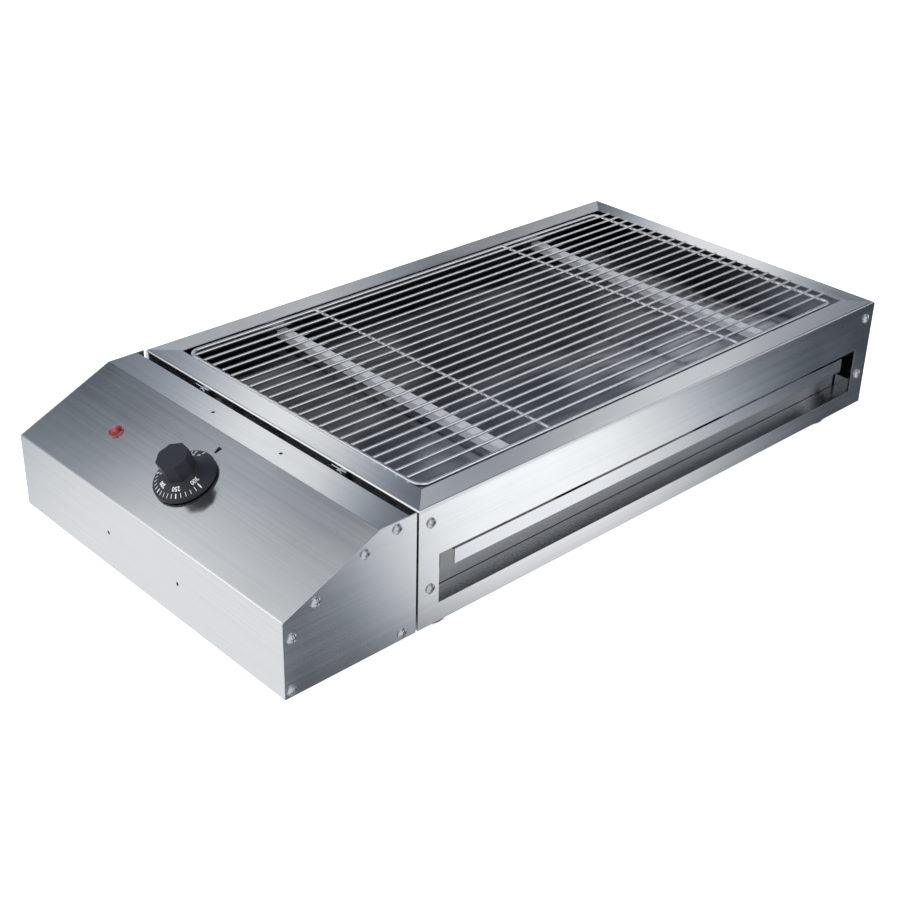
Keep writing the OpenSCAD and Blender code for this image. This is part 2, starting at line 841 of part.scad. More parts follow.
module foot_screws() {
    color(steel) in_body() foot_places() translate([0, 0, -foot_h]) foot_screw();
}

module foot_nuts() {
    color(steel) in_body() foot_places()
        translate([0, 0, sheet]) hex_nut(foot_nut_af, foot_nut_t, foot_screw_d + 2 * thread_play);
}

// Outline of the control box from the side, moved inwards, from the front face to x = back
function front_bend_z(inset) = box_front_h + inset * tan(slope_a) - inset / cos(slope_a);
function top_bend_x(inset) =
    (body_h - inset - box_front_h + inset / cos(slope_a)) / tan(slope_a);
function box_outline(inset, back, bottom) = [
    [inset, bottom], [inset, front_bend_z(inset)], [top_bend_x(inset), body_h - inset],
    [back, body_h - inset], [back, bottom]
];

// The same outline with its two bends rounded, each as a row of points round its centre
bend_steps = 8;
front_bend_c = [bend_r, box_front_h - bend_r * tan((90 - slope_a) / 2)];
top_bend_c = [slope_run + bend_r * tan(slope_a / 2), body_h - bend_r];
function bend_points(centre, r, start_a, end_a) = [
    for (i = [0 : bend_steps])
        let (a = start_a + i / bend_steps * (end_a - start_a)) centre + r * [cos(a), sin(a)]
];
function bent_outline(inset, back, bottom) = concat(
    [[inset, bottom]],
    bend_points(front_bend_c, bend_r - inset, 180, 90 + slope_a),
    bend_points(top_bend_c, bend_r - inset, 90 + slope_a, 90),
    [[back, body_h - inset], [back, bottom]]
);

// Places of the screws on a side plate: front, slope, top and base
function on_edge(share, inset) = [
    share * slope_l * cos(slope_a) + inset * sin(slope_a),
    box_front_h + share * slope_l * sin(slope_a) - inset * cos(slope_a)
];
box_screw_places = [
    [box_screw_edge, box_screw_edge],
    [cover_screw_edge, front_screw_share * box_front_h],
    on_edge(slope_screw_shares[0], cover_screw_edge),
    on_edge(slope_screw_shares[1], cover_screw_edge),
    [box_l - top_screw_inset, body_h - box_screw_edge],
    [box_l - base_screw_inset, box_screw_edge]
];

module side_holes() {
    for (p = box_screw_places)
        translate([p[0], 0, p[1]]) rotate([90, 0, 0])
            cylinder(d = screw_d + 2 * screw_play, h = body_w + 2 * overrun, center = true);
}

// Bent cover: front face, sloping panel and top, with a flange at each side for the screws
module control_cover() {
    cover_w = body_w - 2 * sheet;
    color(steel) difference() {
        in_box() difference() {
            union() {
                along_y(cover_w)
                    difference() {
                        polygon(bent_outline(0, cover_l, 0));
                        polygon(bent_outline(sheet, cover_l + overrun, -overrun));
                    }
                for (side = [0, 1]) mirror([0, side, 0])
                    translate([0, cover_w / 2 - sheet / 2, 0]) along_y(sheet)
                        difference() {
                            polygon(bent_outline(0, cover_l, sheet));
                            polygon(box_outline(cover_flange_w, cover_l + overrun, -overrun));
                        }
            }
            side_holes();
            for (side = [-1, 1]) {
                translate([-overrun, side * front_holes_pitch / 2, front_holes_z])
                    rod_x(0, 2 * overrun, spare_hole_d / 2);
                translate([box_l - top_holes_inset, side * top_holes_pitch / 2, body_h - overrun])
                    cylinder(d = spare_hole_d, h = 2 * overrun);
            }
        }
        on_slope(0) cylinder(d = neck_d + 2 * screw_play, h = 2 * overrun, center = true);
        on_slope(lamp_y) cylinder(d = lamp_stem_d + 2 * screw_play, h = 2 * overrun, center = true);
    }
}

module side_plate() {
    difference() {
        translate([0, half_w - sheet / 2, 0]) along_y(sheet) polygon(bent_outline(0, box_l, 0));
        side_holes();
    }
}

module control_front_side() {
    color(steel) in_box() mirror([0, 1, 0]) side_plate();
}

module control_back_side() {
    color(steel) in_box()
        difference() {
            side_plate();
            translate([inlet_x, half_w, inlet_z]) rotate([90, 0, 0])
                cylinder(d = inlet_neck_d, h = 2 * overrun, center = true);
        }
}

// Back plate of the box, with two tabs that the joining screws pass through
module control_back_plate() {
    plate_w = body_w - 2 * sheet;
    color(steel) in_box() translate([box_l - sheet, 0, 0])
        difference() {
            union() {
                translate([0, -plate_w / 2, 0]) cube([sheet, plate_w, back_plate_h]);
                for (side = [-1, 1])
                    translate([0, side * link_pitch / 2 - link_tab_w / 2, back_plate_h - sheet])
                        cube([sheet, link_tab_w, link_z + link_tab_rise - back_plate_h + sheet]);
            }
            element_holes(collar_d + 2 * collar_out);
            link_holes();
            translate([-overrun, 0, bulb_z]) rod_x(0, 2 * overrun + sheet, capillary_hole_d / 2);
        }
}

module control_base() {
    plate_w = body_w - 2 * sheet;
    side_x0 = cover_flange_w + sheet;
    back_x = box_l - sheet;
    edge_w = plate_w - 2 * sheet - 2 * outer_gap;
    color(steel) in_box()
        difference() {
            union() {
                translate([sheet, -plate_w / 2, 0]) cube([back_x - sheet, plate_w, sheet]);
                for (side = [0, 1]) mirror([0, side, 0])
                    translate([side_x0, plate_w / 2 - sheet, 0])
                        cube([back_x - side_x0, sheet, base_edge_h]);
                for (x = [sheet, back_x - sheet])
                    translate([x, -edge_w / 2, 0]) cube([sheet, edge_w, base_edge_h]);
            }
            side_holes();
            translate([earth_x, earth_y, -overrun])
                cylinder(d = screw_d + 2 * screw_play, h = sheet + 2 * overrun);
        }
}

module control_screws() {
    color(bright_steel) in_box()
        for (side = [0, 1], p = box_screw_places) mirror([0, side, 0])
            translate([p[0], -half_w, p[1]]) rotate([90, 0, 0]) round_screw(screw_l);
}

// Screws, spacers and nuts that join the control box to the body
module link_places() {
    in_box() for (side = [-1, 1]) translate([box_l, side * link_pitch / 2, link_z]) children();
}

module link_screws() {
    link_l = sheet + body_gap + sheet + nut_t + weld_gap;
    color(bright_steel) link_places()
        translate([-sheet, 0, 0]) rotate([0, -90, 0]) round_screw(link_l);
}

module link_spacers() {
    color(bright_steel) link_places()
        difference() {
            rod_x(0, body_gap, screw_head_d / 2);
            rod_x(-overrun, body_gap + overrun, screw_d / 2 + thread_play);
        }
}

module link_nuts() {
    color(bright_steel) link_places() translate([body_gap + sheet, 0, 0])
        rotate([0, 90, 0]) hex_nut(nut_af, nut_t, screw_d + 2 * thread_play);
}

// Small dark wedge on the sloping panel that the dial is read against
module pointer_mark() {
    color(black) on_slope(0, seat_gap) translate([pointer_reach, 0, 0])
        linear_extrude(pointer_t)
            polygon([
                [-pointer_l / 2, -pointer_tip_w / 2], [pointer_l / 2, -pointer_w / 2],
                [pointer_l / 2, pointer_w / 2], [-pointer_l / 2, pointer_tip_w / 2]
            ]);
}

module thermostat_body() {
    color(white) on_slope(0)
        difference() {
            union() {
                translate([-thermostat_w / 2, -thermostat_w / 2, thermostat_back])
                    cube([thermostat_w, thermostat_w, thermostat_depth]);
                translate([0, 0, -sheet - overrun]) cylinder(d = neck_d, h = neck_h + sheet + overrun);
            }
            translate([0, 0, -shaft_depth])
                cylinder(d = shaft_d + 2 * turn_play, h = shaft_depth + neck_h + overrun);
        }
}

module thermostat_nut() {
    color(brass) on_slope(0, seat_gap) hex_nut(neck_nut_af, neck_nut_t, neck_d + 2 * thread_play);
}

module thermostat_shaft() {
    shaft_bottom = -shaft_depth + rest_gap;
    color(steel) on_slope(0)
        difference() {
            translate([0, 0, shaft_bottom]) cylinder(d = shaft_d, h = shaft_top - shaft_bottom);
            translate([shaft_d / 2 - shaft_flat, -shaft_d, neck_h + overrun])
                cube([shaft_d, 2 * shaft_d, shaft_top]);
        }
}

// Knob with a sloping skirt, an eight-sided grip and a bore for the flatted shaft
module knob() {
    skirt_r = knob_d / 2;
    edge_top = knob_gap + skirt_edge_h;
    top_r = skirt_r - skirt_chamfer;
    grip_r = grip_d / 2;
    inner_r = skirt_inner_share * grip_r;
    inner_h = edge_top + (skirt_top_h - edge_top) * (top_r - inner_r) / (top_r - grip_r);
    color(black) on_slope(0)
        difference() {
            union() {
                rotate_extrude()
                    polygon([
                        [0, knob_gap], [skirt_r, knob_gap], [skirt_r, edge_top - skirt_chamfer],
                        [top_r, edge_top], [inner_r, inner_h], [0, inner_h]
                    ]);
                rotate([0, 0, grip_turn]) translate([0, 0, edge_top])
                    cylinder(r = grip_r, h = knob_h - edge_top, $fn = 8);
            }
            cylinder(d = knob_cavity_d, h = knob_cavity_h);
            difference() {
                cylinder(d = shaft_d + 2 * thread_play, h = knob_bore_h);
                translate([shaft_d / 2 - shaft_flat + thread_play, -shaft_d, 0])
                    cube([shaft_d, 2 * shaft_d, knob_bore_h]);
            }
        }
}

// Red domed lens with a stem, the lamp's body behind it and a push-on clip
module lamp_lens() {
    dome_h = lamp_h - lamp_rim_h;
    dome_r = (pow(lamp_d / 2, 2) + dome_h * dome_h) / (2 * dome_h);
    color(red) on_slope(lamp_y, seat_gap) {
        cylinder(d = lamp_d, h = lamp_rim_h);
        intersection() {
            translate([0, 0, lamp_rim_h]) cylinder(d = lamp_d, h = dome_h);
            translate([0, 0, lamp_h - dome_r]) sphere(dome_r);
        }
        translate([0, 0, -lamp_stem_l]) cylinder(d = lamp_stem_d, h = lamp_stem_l);
    }
}

module lamp_body() {
    color(white) on_slope(lamp_y) translate([0, 0, -lamp_l])
        cylinder(d = lamp_stem_d, h = lamp_l - lamp_stem_l);
}

module lamp_clip() {
    color(steel) on_slope(lamp_y) translate([0, 0, -sheet - lamp_clip_t])
        difference() {
            cylinder(d = lamp_stem_d + 2 * lamp_clip_w, h = lamp_clip_t);
            translate([0, 0, -overrun])
                cylinder(d = lamp_stem_d + 2 * thread_play, h = lamp_clip_t + 2 * overrun);
        }
}

// Flat terminals behind the thermostat and the lamp
module spade_terminals() {
    color(brass) {
        on_slope(0) for (side = [-1, 1])
            translate([thermostat_spade_x - spade_t / 2, side * thermostat_spade_y - spade_w / 2,
                       thermostat_back - spade_l])
                cube([spade_t, spade_w, spade_l]);
        on_slope(lamp_y) for (side = [-1, 1])
            translate([-lamp_spade_w / 2, side * lamp_spade_y - spade_t / 2, -lamp_l - spade_l])
                cube([lamp_spade_w, spade_t, spade_l]);
    }
}

function pole_y(i) = (i - (pole_count - 1) / 2) * pole_pitch;

// Block with a screw for each lead in two rows, between upright barriers
module terminal_block() {
    color(white) in_box() translate([block_x, 0, sheet])
        difference() {
            union() {
                translate([-block_w / 2, -block_l / 2, 0]) cube([block_w, block_l, block_base_h]);
                for (i = [0 : pole_count])
                    translate([-block_w / 2, pole_y(i) - pole_pitch / 2 - barrier_t / 2, 0])
                        cube([block_w, barrier_t, block_h]);
            }
            for (i = [0 : pole_count - 1], row = [element_row, control_row])
                translate([row, pole_y(i), block_base_h - pole_screw_h / 2])
                    cylinder(d = pole_screw_d + 2 * pole_screw_play, h = block_h);
        }
}

module terminal_screws() {
    color(brass) in_box()
        for (i = [0 : pole_count - 1], row = [element_row, control_row])
            translate([block_x + row, pole_y(i), sheet + block_base_h - pole_screw_h / 2])
                cylinder(d = pole_screw_d, h = pole_screw_h);
}

// Leads from the terminal block to the elements, the thermostat and the lamp
module wiring() {
    pole_top = sheet + block_base_h + pole_screw_h / 2;
    lead_r = wire_d / 2;
    spade_end = spade_l + rest_gap;
    pin_x = box_l - sheet - cold_end_l - pin_l;
    color(white) in_box() {
        for (i = [0 : element_count - 1], side = [-1, 1])
            let (from = [pin_x, leg_y(i, side), element_z],
                 pole = 2 * i + (side + 1) / 2 + (pole_count / 2 - element_count),
                 to = [block_x + element_row, pole_y(pole), pole_top])
            tube_along(route(from, to, element_lead_shares), lead_r, [0, 1, 0]);
        for (i = [0, 1])
            let (from = slope_point(thermostat_spade_x, (2 * i - 1) * thermostat_spade_y,
                                    thermostat_back - spade_end),
                 to = [block_x + control_row, pole_y(thermostat_pole + i), pole_top])
            tube_along(route(from, to, control_lead_shares), lead_r, [0, 1, 0]);
        for (i = [0, 1])
            let (from = slope_point(0, lamp_y + (2 * i - 1) * lamp_spade_y, -lamp_l - spade_end),
                 to = [block_x + control_row, pole_y(lamp_pole + i), pole_top])
            tube_along(route(from, to, control_lead_shares), lamp_wire_d / 2, [1, 0, 0]);
    }
}

module earth_screw() {
    color(brass) in_box() translate([earth_x, earth_y, 0]) cylinder(d = screw_d, h = earth_l);
}

module earth_nuts() {
    color(brass) in_box() translate([earth_x, earth_y, 0])
        for (z = [sheet, sheet + nut_t + sheet])
            translate([0, 0, z]) hex_nut(nut_af, nut_t, screw_d + 2 * thread_play);
}

// Rubber bush in the box's back side, where the supply cord enters
module cord_inlet() {
    color(black) in_box() translate([inlet_x, half_w + inlet_flange_t, inlet_z])
        rotate([90, 0, 0])
            difference() {
                union() {
                    cylinder(d = inlet_flange_d, h = inlet_flange_t);
                    cylinder(d = inlet_neck_d - 2 * thread_play, h = 2 * inlet_flange_t + sheet);
                    translate([0, 0, inlet_flange_t + sheet])
                        cylinder(d = inlet_flange_d, h = inlet_flange_t);
                }
                translate([0, 0, -overrun])
                    cylinder(d = inlet_d, h = 2 * inlet_flange_t + sheet + 2 * overrun);
            }
}

// Shallow tray with a raised handle along its front
module drip_tray() {
    tray_w = tray_y1 - tray_y0;
    color(steel) in_body() {
        difference() {
            translate([tray_x0, tray_y0, tray_z]) cube([tray_l, tray_w, tray_wall_h]);
            translate([tray_x0 + sheet, tray_y0 + sheet, tray_z + sheet])
                cube([tray_l - 2 * sheet, tray_w - 2 * sheet, tray_wall_h]);
        }
        translate([lip_x0, tray_y0, tray_z]) cube([lip_l, sheet, lip_top - tray_z]);
        translate([lip_x0, lip_y, lip_top - sheet]) cube([lip_l, tray_y0 + sheet - lip_y, sheet]);
        translate([lip_x0, lip_y, lip_top - lip_h]) cube([lip_l, sheet, lip_h]);
    }
}

// One rounded corner of the frame, from the +x side to the +y side
module frame_corner(corner_r) {
    rotate_extrude(angle = 90) translate([corner_r, 0]) circle(d = frame_wire_d);
}

module grate_frame() {
    r = frame_wire_d / 2;
    left = frame_corner_left;
    right = frame_corner_right;
    color(bright_steel) in_body() translate([0, 0, frame_z]) {
        for (side = [-1, 1])
            translate([0, side * frame_hw, 0]) rod_x(frame_x0 + left, frame_x1 - right, r);
        translate([frame_x0, 0, 0]) rotate([90, 0, 0])
            cylinder(r = r, h = 2 * (frame_hw - left), center = true);
        translate([frame_x1, 0, 0]) rotate([90, 0, 0])
            cylinder(r = r, h = 2 * (frame_hw - right), center = true);
        for (side = [0, 1]) mirror([0, side, 0]) {
            translate([frame_x1 - right, frame_hw - right, 0]) frame_corner(right);
            translate([frame_x0 + left, frame_hw - left, 0]) rotate([0, 0, 90]) frame_corner(left);
        }
    }
}

module grate_bars() {
    color(bright_steel) in_body()
        for (i = [0 : bar_count - 1])
            translate([0, (i - (bar_count - 1) / 2) * bar_pitch, bar_z])
                rod_x(frame_x0 - bar_start_lap, frame_x1 + bar_overhang, bar_d / 2);
}

module grate_cross_rods() {
    rod_l = 2 * (frame_hw - frame_wire_d / 2 - weld_gap);
    color(bright_steel) in_body()
        for (share = rod_place_shares)
            translate([frame_x0 + share * (frame_x1 - frame_x0), 0, rod_z])
                rotate([90, 0, 0]) cylinder(d = rod_d, h = rod_l, center = true);
}

front_panel();
back_panel();
left_end_panel();
right_end_panel();
base_plate();
inner_pan();
cross_supports();
grate_rests();
tray_rails();
body_screws();
heating_elements();
element_nuts();
clamp_bars();
clamp_studs();
clamp_nuts();
sensing_bulb();
capillary_tube();
foot_cups();
foot_pads();
foot_screws();
foot_nuts();
control_cover();
control_front_side();
control_back_side();
control_back_plate();
control_base();
control_screws();
link_screws();
link_spacers();
link_nuts();
pointer_mark();
thermostat_body();
thermostat_nut();
lamp_lens();
lamp_body();
lamp_clip();
spade_terminals();
terminal_block();
terminal_screws();
wiring();
earth_screw();
earth_nuts();
cord_inlet();
knob();
thermostat_shaft();
drip_tray();
grate_frame();
grate_bars();
grate_cross_rods();
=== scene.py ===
import math

import bmesh
import bpy
from mathutils import Matrix, Vector


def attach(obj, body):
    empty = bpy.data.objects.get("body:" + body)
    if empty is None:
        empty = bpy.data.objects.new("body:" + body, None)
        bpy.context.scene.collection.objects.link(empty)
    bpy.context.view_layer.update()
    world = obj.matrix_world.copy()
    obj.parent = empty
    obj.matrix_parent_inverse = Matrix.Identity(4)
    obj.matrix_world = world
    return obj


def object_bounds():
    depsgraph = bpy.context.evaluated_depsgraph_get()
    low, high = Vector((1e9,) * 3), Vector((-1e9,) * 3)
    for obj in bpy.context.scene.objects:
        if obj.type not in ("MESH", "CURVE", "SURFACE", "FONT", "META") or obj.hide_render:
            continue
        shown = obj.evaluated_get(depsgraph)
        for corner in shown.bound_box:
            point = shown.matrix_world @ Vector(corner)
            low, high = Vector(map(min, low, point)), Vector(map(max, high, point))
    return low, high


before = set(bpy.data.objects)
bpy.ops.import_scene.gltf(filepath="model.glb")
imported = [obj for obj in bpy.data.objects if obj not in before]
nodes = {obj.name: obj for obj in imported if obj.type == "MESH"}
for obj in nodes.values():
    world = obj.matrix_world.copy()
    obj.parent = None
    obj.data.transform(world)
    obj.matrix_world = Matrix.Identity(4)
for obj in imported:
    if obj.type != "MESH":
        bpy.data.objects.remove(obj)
cad_low, cad_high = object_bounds()

# Camera, fitted to the photograph
EYE = Vector((-0.8302, -0.8458, 0.6809))
LOOK = Vector((0.600, 0.632, -0.490)).normalized()
ROLL = math.radians(1.354)
LENS_MM = 62.12
SENSOR_MM = 36.0
CLIP_START = 0.05
CLIP_END = 50

# Sky. A flag or a soft box is a range of directions: the limits of x, y and z, each with its softness. The
# last number is the share of the light that a flag keeps, or the light that a box adds.
BACKDROP = 1.0
FLAGS = {
    "front": ((0.44, 0.87, 0.04), (-1.2, 0.0, 0.12), (-1.1, 0.15, 0.10), 0.06),
    "left": (None, (0.785, 1.2, 0.04), (-1.1, 0.15, 0.10), 0.55),
    "top": ((-0.080, 0.97, 0.03), (-0.15, 0.86, 0.06), (0.15, 1.1, 0.08), 0.12),
    "near": ((0.30, 0.97, 0.06), (-0.90, -0.15, 0.06), (0.12, 1.1, 0.08), 0.20),
    "far": ((-1.1, 0.05, 0.06), (0.760, 1.1, 0.03), (0.12, 1.1, 0.08), 0.40),
    "behind": ((-0.8, -0.45, 0.08), (-0.9, -0.2, 0.10), None, 0.45),
    "right": ((0.5, 1.2, 0.10), (0.1, 0.6, 0.10), (-1.1, 0.15, 0.10), 0.45),
}
BOXES = {
    "front": ((0.545, 0.712, 0.058), (-1.2, 0.0, 0.12), (-1.1, 0.15, 0.10), 1.32),
    "strip_a": ((0.27, 0.595, 0.03), (0.662, 0.744, 0.036), (0.15, 1.1, 0.05), 1.00),
    "strip_b": ((0.27, 0.90, 0.04), (0.510, 0.592, 0.030), (0.15, 1.1, 0.05), 0.90),
    "strip_c": ((0.655, 0.735, 0.025), (0.20, 0.50, 0.030), (0.15, 1.1, 0.05), 1.30),
    "slope": ((-0.80, -0.080, 0.030), (0.66, 0.745, 0.030), (0.25, 1.1, 0.10), 0.06),
    "middle": ((-0.20, 0.20, 0.030), (0.690, 0.745, 0.025), (0.25, 1.1, 0.10), 0.12),
    "far_rim": ((0.30, 0.60, 0.05), (0.755, 0.860, 0.020), (0.25, 0.60, 0.05), 0.14),
    "bend": ((-0.85, -0.45, 0.080), (0.50, 0.760, 0.050), (0.12, 0.40, 0.05), 0.60),
    "wires": ((0.40, 0.85, 0.060), (-0.72, -0.28, 0.050), (0.45, 0.90, 0.060), 1.40),
}
# Dark parts of the sky are bluish. The tint is gone where the level reaches 1 / TINT_GAIN.
DARK_TINT = (0.76, 0.91, 1.14)
TINT_GAIN = 1.1

# Lamps: place, target, width and height, power
LAMPS = {
    "key": ((-0.9, 0.9, 1.7), (0, 0, 0), (0.9, 0.9), 18),
    "fill": ((0.4, -1.6, 1.2), (0, 0, 0), (1.4, 0.9), 2),
    "side": ((-1.5, -0.45, 0.55), (-0.3, 0, 0.08), (0.5, 0.5), 6),
}

# Floor, and the sheet under it that shades reflections near the grill
FLOOR_HALF = 6
FLOOR_Z = -0.0005
FLOOR_TONE = 0.8
FLOOR_GLOW = 0.78
SHADE_Z = -0.002
SHADE_REACH = 0.055
SHADE_KEEP = 0.42
SHADE_SHARPNESS = (6.0, 1.0)

# Noise: the range that holds most of its values, and how many clouds, waves or grains it has in a metre
NOISE_LOW, NOISE_HIGH = 0.3, 0.7
SHEET_CLOUDS = 14.0
SHEET_WAVES = 9.0
PLATE_CLOUDS = 120.0
PLASTIC_CLOUDS = 60.0
PLASTIC_GRAIN = 900.0
LENS_CLOUDS = 500.0

# Depth of the unevenness of plated metal, and of the grain of plastic
PLATE_DEPTH = 0.0002
GRAIN_DEPTH = 0.0001
# How far the clouds change the roughness and the tone of plastic
PLASTIC_ROUGH_SPREAD = 0.05
PLASTIC_SPREAD = 0.15

# Scratches of sheet metal: noise per metre along and across them, the share of the fine ones, the range of
# both together, their depth, and how far they change the tone and the roughness
FINE_SCRATCHES = (6, 850)
COARSE_SCRATCHES = (2.5, 240)
FINE_SHARE = 0.6
STREAK_LOW, STREAK_HIGH = 0.35, 0.65
SCRATCH_DEPTH = 0.00002
SPREAD = 0.016
ROUGH_SPREAD = 0.01
# The scratches' axis, tilted a little so that faces square to it still have a tangent
SCRATCH_AXIS = {"x": (1.0, 0.02, 0.01), "y": (0.02, 1.0, 0.01), "z": (0.01, 0.02, 1.0)}
# Painted shade: darker on the tray's wall recessed behind its lip, and towards the middle and back of the pan
# under the grate. Where it starts and is full along y, the share of the colour that it leaves, and how far
# its edge wanders
TRAY_PAINTED_SHADE = (-0.1655, -0.157, 0.40)
PAN_PAINTED_SHADE = (-0.130, -0.005, 0.19)
PAINTED_SHADE_WANDER = 0.002

# Sloping panel of the control box, at the knob's axis, and the lamp beside it
KNOB_AT = Vector((-0.29415, 0.0, 0.09905))
SLOPE_OUT = Vector((-0.40844, 0.0, 0.91279))
SLOPE_UP = Vector((0.91279, 0.0, 0.40844))
LAMP_Y = 0.0943
LAMP_R = 0.006

# Lens: roughness, clear coat, how uneven its rings are, and its colours by the share of the lamp's radius.
# The colours are painted light: a brighter middle, painted shade towards the rim and a pale painted sheen at
# the edge
LENS_ROUGHNESS = 0.20
LENS_COAT = 0.25
LENS_UNEVEN = 0.05
LENS_PAINTED_RINGS = [
    (0.0, (0.40, 0.030, 0.052)), (0.38, (0.36, 0.022, 0.040)), (0.52, (0.17, 0.005, 0.013)),
    (0.80, (0.14, 0.004, 0.010)), (0.90, (0.06, 0.003, 0.007)), (0.97, (0.26, 0.085, 0.11)),
]

# Broken edges
SHEET_EDGE = 0.00025
KNOB_EDGE = 0.0004
WELD_REACH = 0.000002
FLAT_ANGLE = math.radians(0.6)
SHARP_ANGLE = math.radians(28)

# Dial: the cone of the knob's skirt, the print on it, and each figure's angle in degrees
CONE_R, CONE_H, CONE_FALL = 0.0246, 0.0038, 0.5
PRINT_UNDER, PRINT_OVER = 0.00003, 0.00005
TICK_IN, TICK_OUT = 0.0200, 0.0232
MAIN_TICK_W, SMALL_TICK_W = 0.00075, 0.00036
TOP_TICK = (0.0196, 0.0234, 0.00085)
OFF_TICK = (0.0214, 0.0238, 0.00080)
TICKS_PER_FIGURE = 5
FIGURES = {300: 269.0, 250: 217.0, 200: 168.5, 150: 117.5, 100: 70.0, 50: 24.0}
FIGURE_R, FIGURE_H = 0.0168, 0.0032
OFF_TURN = 7.0
OFF_R, OFF_H = 0.0186, 0.0026
CAPITAL_SHARE = 0.72
STROKE_EXTRA = 0.00004
MERGE_REACH = 0.00001


# Helpers
class Tree:
    """Short calls for building a node tree."""

    def __init__(self, tree):
        self.tree = tree
        tree.nodes.clear()

    def node(self, kind, **settings):
        made = self.tree.nodes.new(kind)
        for name, value in settings.items():
            setattr(made, name, value)
        return made

    def put(self, socket, value):
        if isinstance(value, bpy.types.NodeSocket):
            self.tree.links.new(value, socket)
        else:
            socket.default_value = value

    def math(self, operation, a, b=0.0, clamp=False):
        made = self.node("ShaderNodeMath", operation=operation, use_clamp=clamp)
        self.put(made.inputs[0], a)
        self.put(made.inputs[1], b)
        return made.outputs[0]

    def vector(self, operation, a, b):
        made = self.node("ShaderNodeVectorMath", operation=operation)
        self.put(made.inputs[0], a)
        self.put(made.inputs[1], b)
        return made.outputs["Vector"]

    def remap(self, value, low, high, to_low, to_high, smooth=True):
        made = self.node("ShaderNodeMapRange", interpolation_type="SMOOTHSTEP" if smooth else "LINEAR")
        for socket, given in zip(made.inputs, (value, low, high, to_low, to_high)):
            self.put(socket, given)
        return made.outputs[0]

    def window(self, value, low, high, soft):
        """1 between the limits and 0 outside, with soft sides."""
        rise = self.remap(value, low - soft, low + soft, 0, 1)
        fall = self.remap(value, high - soft, high + soft, 1, 0)
        return self.math("MULTIPLY", rise, fall)

    def mix(self, factor, a, b):
        made = self.node("ShaderNodeMix", data_type="RGBA")
        self.put(made.inputs[0], factor)
        self.put(made.inputs[6], a)
        self.put(made.inputs[7], b)
        return made.outputs[2]

    def noise(self, coordinates, scale, detail, roughness=0.6):
        made = self.node("ShaderNodeTexNoise")
        self.put(made.inputs["Vector"], coordinates)
        made.inputs["Scale"].default_value = scale
        made.inputs["Detail"].default_value = detail
        made.inputs["Roughness"].default_value = roughness
        return made.outputs["Fac"]

    def ramp(self, value, stops):
        made = self.node("ShaderNodeValToRGB")
        elements = made.color_ramp.elements
        while len(elements) < len(stops):
            elements.new(0.5)
        for element, (place, colour) in zip(elements, stops):
            element.position = place
            element.color = (*colour, 1)
        self.put(made.inputs[0], value)
        return made.outputs[0]

    def bump(self, height, distance, strength, normal=None):
        made = self.node("ShaderNodeBump")
        made.inputs["Strength"].default_value = strength
        made.inputs["Distance"].default_value = distance
        self.put(made.inputs["Height"], height)
        if normal is not None:
            self.put(made.inputs["Normal"], normal)
        return made.outputs["Normal"]

    def here(self):
        """Object coordinates, which are metres in the shared frame on every CAD piece."""
        return self.node("ShaderNodeTexCoord").outputs["Object"]

    def camera_ray(self):
        return self.node("ShaderNodeLightPath").outputs["Is Camera Ray"]


def grey(value):
    """A grey with its alpha."""
    return (value, value, value, 1)


def scaled(colour, share):
    """The colour at a share of its brightness, with its alpha."""
    return (*(min(1, c * share) for c in colour), 1)


def link(thing):
    bpy.context.scene.collection.objects.link(thing)


def new_material(name):
    """A material with an empty node tree. Returns both."""
    material = bpy.data.materials.new(name)
    material.use_nodes = True
    return material, Tree(material.node_tree)


# Camera and light
def add_camera():
    """The photograph's camera, whose picture leans by ROLL."""
    level_right = LOOK.cross(Vector((0, 0, 1))).normalized()
    level_up = level_right.cross(LOOK)
    right = level_right * math.cos(ROLL) + level_up * math.sin(ROLL)
    up = level_up * math.cos(ROLL) - level_right * math.sin(ROLL)
    data = bpy.data.cameras.new("camera")
    data.lens = LENS_MM
    data.sensor_width = SENSOR_MM
    data.clip_start = CLIP_START
    data.clip_end = CLIP_END
    camera = bpy.data.objects.new("camera", data)
    turn = Matrix((right, up, -LOOK)).transposed().to_4x4()
    camera.matrix_world = Matrix.Translation(EYE) @ turn
    link(camera)
    bpy.context.scene.camera = camera


def share_inside(sky, direction, ranges):
    """1 for the directions inside these limits, 0 outside."""
    share = None
    for value, limits in zip(direction.outputs, ranges):
        if limits:
            window = sky.window(value, *limits)
            share = window if share is None else sky.math("MULTIPLY", share, window)
    return share


def add_sky():
    """A white backdrop all round. The camera sees it plain. Other rays see the flags and soft boxes in it."""
    world = bpy.data.worlds.new("studio")
    bpy.context.scene.world = world
    world.use_nodes = True
    sky = Tree(world.node_tree)
    direction = sky.node("ShaderNodeSeparateXYZ")
    sky.put(direction.inputs[0], sky.node("ShaderNodeTexCoord").outputs["Generated"])
    level = BACKDROP
    for *ranges, kept in FLAGS.values():
        flag = sky.remap(share_inside(sky, direction, ranges), 0, 1, 1, kept, smooth=False)
        level = sky.math("MULTIPLY", level, flag)
    for *ranges, added in BOXES.values():
        level = sky.math("ADD", level, sky.math("MULTIPLY", share_inside(sky, direction, ranges), added))
    tint = sky.mix(sky.math("MULTIPLY", level, TINT_GAIN, clamp=True), (*DARK_TINT, 1), grey(1))
    lit = sky.node("ShaderNodeVectorMath", operation="SCALE")
    sky.put(lit.inputs[0], tint)
    sky.put(lit.inputs["Scale"], level)
    background = sky.node("ShaderNodeBackground")
    sky.put(background.inputs["Color"], sky.mix(sky.camera_ray(), lit.outputs[0], grey(BACKDROP)))
    sky.put(sky.node("ShaderNodeOutputWorld").inputs[0], background.outputs[0])


